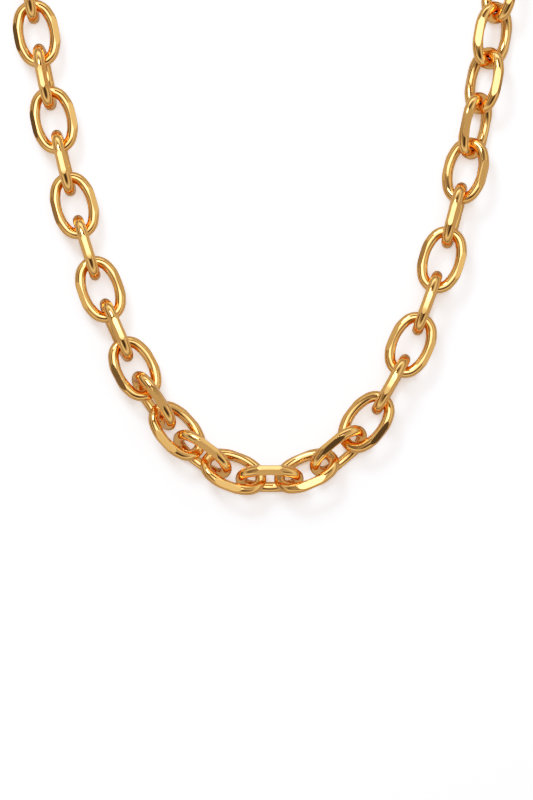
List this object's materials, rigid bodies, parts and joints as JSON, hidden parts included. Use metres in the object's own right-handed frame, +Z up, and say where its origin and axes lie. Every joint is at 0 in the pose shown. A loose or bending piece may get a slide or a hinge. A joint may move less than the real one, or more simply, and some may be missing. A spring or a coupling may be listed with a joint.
{
  "type": "chain necklace",
  "caption": "Chunky faceted oval cable chain in polished gold-tone brass, open at the back, with jump rings, a sprung lobster clasp and a catch ring.",
  "frame": {"origin": "bottom centre of the whole necklace as it lies unclasped on a table", "axes": "+Z up from the table, +Y from the bottom of the U towards the clasp ends, +X towards the arm with the catch ring"},
  "size_m": [0.1508, 0.1996, 0.0121],
  "materials": {
    "gold_links": "gold-plated brass, polished round wire with finely brushed flats",
    "gold_rings": "gold-plated brass, polished",
    "gold_clasp": "gold-plated cast brass, polished",
    "steel_spring": "hardened spring strip"
  },
  "bodies": {
    "link_bottom": {"link_bottom": "gold_links"},
    "link_right_01": {"link_right_01": "gold_links"},
    "link_right_02": {"link_right_02": "gold_links"},
    "link_right_03": {"link_right_03": "gold_links"},
    "link_right_04": {"link_right_04": "gold_links"},
    "link_right_05": {"link_right_05": "gold_links"},
    "link_right_06": {"link_right_06": "gold_links"},
    "link_right_07": {"link_right_07": "gold_links"},
    "link_right_08": {"link_right_08": "gold_links"},
    "link_right_09": {"link_right_09": "gold_links"},
    "link_right_10": {"link_right_10": "gold_links"},
    "link_right_11": {"link_right_11": "gold_links"},
    "link_right_12": {"link_right_12": "gold_links"},
    "link_right_13": {"link_right_13": "gold_links"},
    "link_right_14": {"link_right_14": "gold_links"},
    "link_right_15": {"link_right_15": "gold_links"},
    "link_right_16": {"link_right_16": "gold_links"},
    "link_right_17": {"link_right_17": "gold_links"},
    "link_left_01": {"link_left_01": "gold_links"},
    "link_left_02": {"link_left_02": "gold_links"},
    "link_left_03": {"link_left_03": "gold_links"},
    "link_left_04": {"link_left_04": "gold_links"},
    "link_left_05": {"link_left_05": "gold_links"},
    "link_left_06": {"link_left_06": "gold_links"},
    "link_left_07": {"link_left_07": "gold_links"},
    "link_left_08": {"link_left_08": "gold_links"},
    "link_left_09": {"link_left_09": "gold_links"},
    "link_left_10": {"link_left_10": "gold_links"},
    "link_left_11": {"link_left_11": "gold_links"},
    "link_left_12": {"link_left_12": "gold_links"},
    "link_left_13": {"link_left_13": "gold_links"},
    "link_left_14": {"link_left_14": "gold_links"},
    "link_left_15": {"link_left_15": "gold_links"},
    "link_left_16": {"link_left_16": "gold_links"},
    "link_left_17": {"link_left_17": "gold_links"},
    "jump_ring_left": {"jump_ring_left": "gold_rings"},
    "jump_ring_right": {"jump_ring_right": "gold_rings"},
    "catch_ring": {"catch_ring": "gold_rings"},
    "clasp": {"clasp_claw": "gold_clasp", "clasp_rivet": "gold_clasp", "clasp_spring": "steel_spring"},
    "clasp_gate": {"clasp_gate": "gold_clasp"}
  },
  "joints": [
    {"name": "clasp_gate_opens", "type": "hinge", "parent": "clasp", "child": "clasp_gate", "pos_m": [-0.06551, 0.08577, 0.00401], "axis": [-0.0163, 0.1193, 0.9927], "range_deg": [0, 26], "stiffness_Nm_per_rad": 0.02, "springref_deg": -5.73},
    {"name": "clasp_swivels_in_jump_ring", "type": "hinge", "parent": "jump_ring_left", "child": "clasp", "pos_m": [-0.06777, 0.07869, 0.00481], "axis": [0, 0, 1], "range_deg": [-30, 30]},
    {"name": "catch_ring_swivels_in_jump_ring", "type": "hinge", "parent": "jump_ring_right", "child": "catch_ring", "pos_m": [0.07025, 0.09248, 0.00481], "axis": [0, 0, 1], "range_deg": [-30, 30]},
    {"name": "jump_ring_left_swings", "type": "hinge", "parent": "link_left_17", "child": "jump_ring_left", "pos_m": [-0.06708, 0.07363, 0.00386], "axis": [0.9908, 0.1352, 0], "range_deg": [-5, 28]},
    {"name": "jump_ring_right_swings", "type": "hinge", "parent": "link_right_17", "child": "jump_ring_right", "pos_m": [0.06964, 0.0874, 0.00386], "axis": [0.9929, -0.1189, 0], "range_deg": [-5, 28]},
    {"name": "link_left_01_bends", "type": "hinge", "parent": "link_bottom", "child": "link_left_01", "pos_m": [-0.00557, -0.09548, 0.00546], "axis": [0, -0.5, -0.866], "range_deg": [-25, 25]},
    {"name": "link_left_02_drapes", "type": "hinge", "parent": "link_left_01", "child": "link_left_02", "pos_m": [-0.01454, -0.09099, 0.00536], "axis": [0.2971, 0.7634, -0.5736], "range_deg": [-22, 22]},
    {"name": "link_left_03_bends", "type": "hinge", "parent": "link_left_02", "child": "link_left_03", "pos_m": [-0.02161, -0.08462, 0.00536], "axis": [0.3227, 0.4296, 0.8434], "range_deg": [-25, 25]},
    {"name": "link_left_04_drapes", "type": "hinge", "parent": "link_left_03", "child": "link_left_04", "pos_m": [-0.02727, -0.07742, 0.00582], "axis": [-0.6329, -0.5915, 0.4996], "range_deg": [-22, 22]},
    {"name": "link_left_05_bends", "type": "hinge", "parent": "link_left_04", "child": "link_left_05", "pos_m": [-0.03247, -0.06886, 0.00582], "axis": [0.2847, 0.1895, 0.9397], "range_deg": [-25, 25]},
    {"name": "link_left_06_drapes", "type": "hinge", "parent": "link_left_05", "child": "link_left_06", "pos_m": [-0.03678, -0.06009, 0.00606], "axis": [-0.8556, -0.4577, 0.2419], "range_deg": [-22, 22]},
    {"name": "link_left_07_bends", "type": "hinge", "parent": "link_left_06", "child": "link_left_07", "pos_m": [-0.04102, -0.04976, 0.00606], "axis": [0.1279, 0.0549, 0.9903], "range_deg": [-25, 25]},
    {"name": "link_left_08_drapes", "type": "hinge", "parent": "link_left_07", "child": "link_left_08", "pos_m": [-0.04478, -0.03894, 0.0061], "axis": [0.9368, 0.3372, -0.0929], "range_deg": [-22, 22]},
    {"name": "link_left_09_bends", "type": "hinge", "parent": "link_left_08", "child": "link_left_09", "pos_m": [-0.04808, -0.02796, 0.0061], "axis": [-0.0444, -0.0137, -0.9989], "range_deg": [-25, 25]},
    {"name": "link_left_10_drapes", "type": "hinge", "parent": "link_left_09", "child": "link_left_10", "pos_m": [-0.05101, -0.01687, 0.00611], "axis": [0.9651, 0.2618, 0], "range_deg": [-22, 22]},
    {"name": "link_left_11_bends", "type": "hinge", "parent": "link_left_10", "child": "link_left_11", "pos_m": [-0.05365, -0.00569, 0.00611], "axis": [0.0339, 0.0082, -0.9994], "range_deg": [-25, 25]},
    {"name": "link_left_12_drapes", "type": "hinge", "parent": "link_left_11", "child": "link_left_12", "pos_m": [-0.05605, 0.00555, 0.00608], "axis": [-0.9747, -0.2122, -0.0698], "range_deg": [-22, 22]},
    {"name": "link_left_13_bends", "type": "hinge", "parent": "link_left_12", "child": "link_left_13", "pos_m": [-0.05825, 0.01683, 0.00608], "axis": [0.1025, 0.0203, -0.9945], "range_deg": [-25, 25]},
    {"name": "link_left_14_drapes", "type": "hinge", "parent": "link_left_13", "child": "link_left_14", "pos_m": [-0.06028, 0.02816, 0.00611], "axis": [-0.9815, -0.1782, -0.0698], "range_deg": [-22, 22]},
    {"name": "link_left_15_bends", "type": "hinge", "parent": "link_left_14", "child": "link_left_15", "pos_m": [-0.06216, 0.03953, 0.00611], "axis": [0.0344, 0.0058, -0.9994], "range_deg": [-25, 25]},
    {"name": "link_left_16_drapes", "type": "hinge", "parent": "link_left_15", "child": "link_left_16", "pos_m": [-0.06391, 0.05093, 0.00611], "axis": [0.9881, 0.154, 0], "range_deg": [-22, 22]},
    {"name": "link_left_17_bends", "type": "hinge", "parent": "link_left_16", "child": "link_left_17", "pos_m": [-0.06556, 0.06235, 0.00611], "axis": [0, 0, -1], "range_deg": [-25, 25]},
    {"name": "link_right_01_bends", "type": "hinge", "parent": "link_bottom", "child": "link_right_01", "pos_m": [0.00948, -0.09548, 0.00546], "axis": [0, -0.5, -0.866], "range_deg": [-25, 25]},
    {"name": "link_right_02_drapes", "type": "hinge", "parent": "link_right_01", "child": "link_right_02", "pos_m": [0.01862, -0.09053, 0.00519], "axis": [-0.3001, 0.68, -0.669], "range_deg": [-22, 22]},
    {"name": "link_right_03_bends", "type": "hinge", "parent": "link_right_02", "child": "link_right_03", "pos_m": [0.02575, -0.08347, 0.00519], "axis": [-0.3769, 0.4511, 0.809], "range_deg": [-25, 25]},
    {"name": "link_right_04_drapes", "type": "hinge", "parent": "link_right_03", "child": "link_right_04", "pos_m": [0.03186, -0.07475, 0.0061], "axis": [0.7281, -0.5947, 0.3408], "range_deg": [-22, 22]},
    {"name": "link_right_05_bends", "type": "hinge", "parent": "link_right_04", "child": "link_right_05", "pos_m": [0.03738, -0.06431, 0.0061], "axis": [0.0456, -0.0257, -0.9986], "range_deg": [-25, 25]},
    {"name": "link_right_06_drapes", "type": "hinge", "parent": "link_right_05", "child": "link_right_06", "pos_m": [0.04187, -0.05364, 0.0061], "axis": [0.9147, -0.4041, 0], "range_deg": [-22, 22]},
    {"name": "link_right_07_bends", "type": "hinge", "parent": "link_right_06", "child": "link_right_07", "pos_m": [0.04575, -0.04254, 0.0061], "axis": [-0.0437, 0.0159, 0.9989], "range_deg": [-25, 25]},
    {"name": "link_right_08_drapes", "type": "hinge", "parent": "link_right_07", "child": "link_right_08", "pos_m": [0.04916, -0.03108, 0.00606], "axis": [-0.9521, 0.2914, -0.0929], "range_deg": [-22, 22]},
    {"name": "link_right_09_bends", "type": "hinge", "parent": "link_right_08", "child": "link_right_09", "pos_m": [0.05219, -0.01942, 0.00606], "axis": [-0.1345, 0.0357, 0.9903], "range_deg": [-25, 25]},
    {"name": "link_right_10_drapes", "type": "hinge", "parent": "link_right_09", "child": "link_right_10", "pos_m": [0.05488, -0.00768, 0.00519], "axis": [0.908, -0.19, 0.3734], "range_deg": [-22, 22]},
    {"name": "link_right_11_bends", "type": "hinge", "parent": "link_right_10", "child": "link_right_11", "pos_m": [0.0573, 0.00414, 0.00519], "axis": [-0.5754, 0.1201, 0.809], "range_deg": [-25, 25]},
    {"name": "link_right_12_drapes", "type": "hinge", "parent": "link_right_11", "child": "link_right_12", "pos_m": [0.0595, 0.01598, 0.00498], "axis": [-0.6845, 0.1192, -0.7192], "range_deg": [-22, 22]},
    {"name": "link_right_13_bends", "type": "hinge", "parent": "link_right_12", "child": "link_right_13", "pos_m": [0.06152, 0.02786, 0.00498], "axis": [0.7766, -0.1338, -0.6157], "range_deg": [-25, 25]},
    {"name": "link_right_14_drapes", "type": "hinge", "parent": "link_right_13", "child": "link_right_14", "pos_m": [0.06339, 0.03977, 0.00509], "axis": [-0.634, 0.1058, -0.766], "range_deg": [-22, 22]},
    {"name": "link_right_15_bends", "type": "hinge", "parent": "link_right_14", "child": "link_right_15", "pos_m": [0.06512, 0.05169, 0.00509], "axis": [-0.6092, 0.0893, 0.788], "range_deg": [-25, 25]},
    {"name": "link_right_16_drapes", "type": "hinge", "parent": "link_right_15", "child": "link_right_16", "pos_m": [0.06673, 0.06362, 0.006], "axis": [0.8948, -0.1478, 0.4212], "range_deg": [-22, 22]},
    {"name": "link_right_17_bends", "type": "hinge", "parent": "link_right_16", "child": "link_right_17", "pos_m": [0.06824, 0.07559, 0.006], "axis": [-0.2062, 0.0263, 0.9781], "range_deg": [-25, 25]}
  ]
}
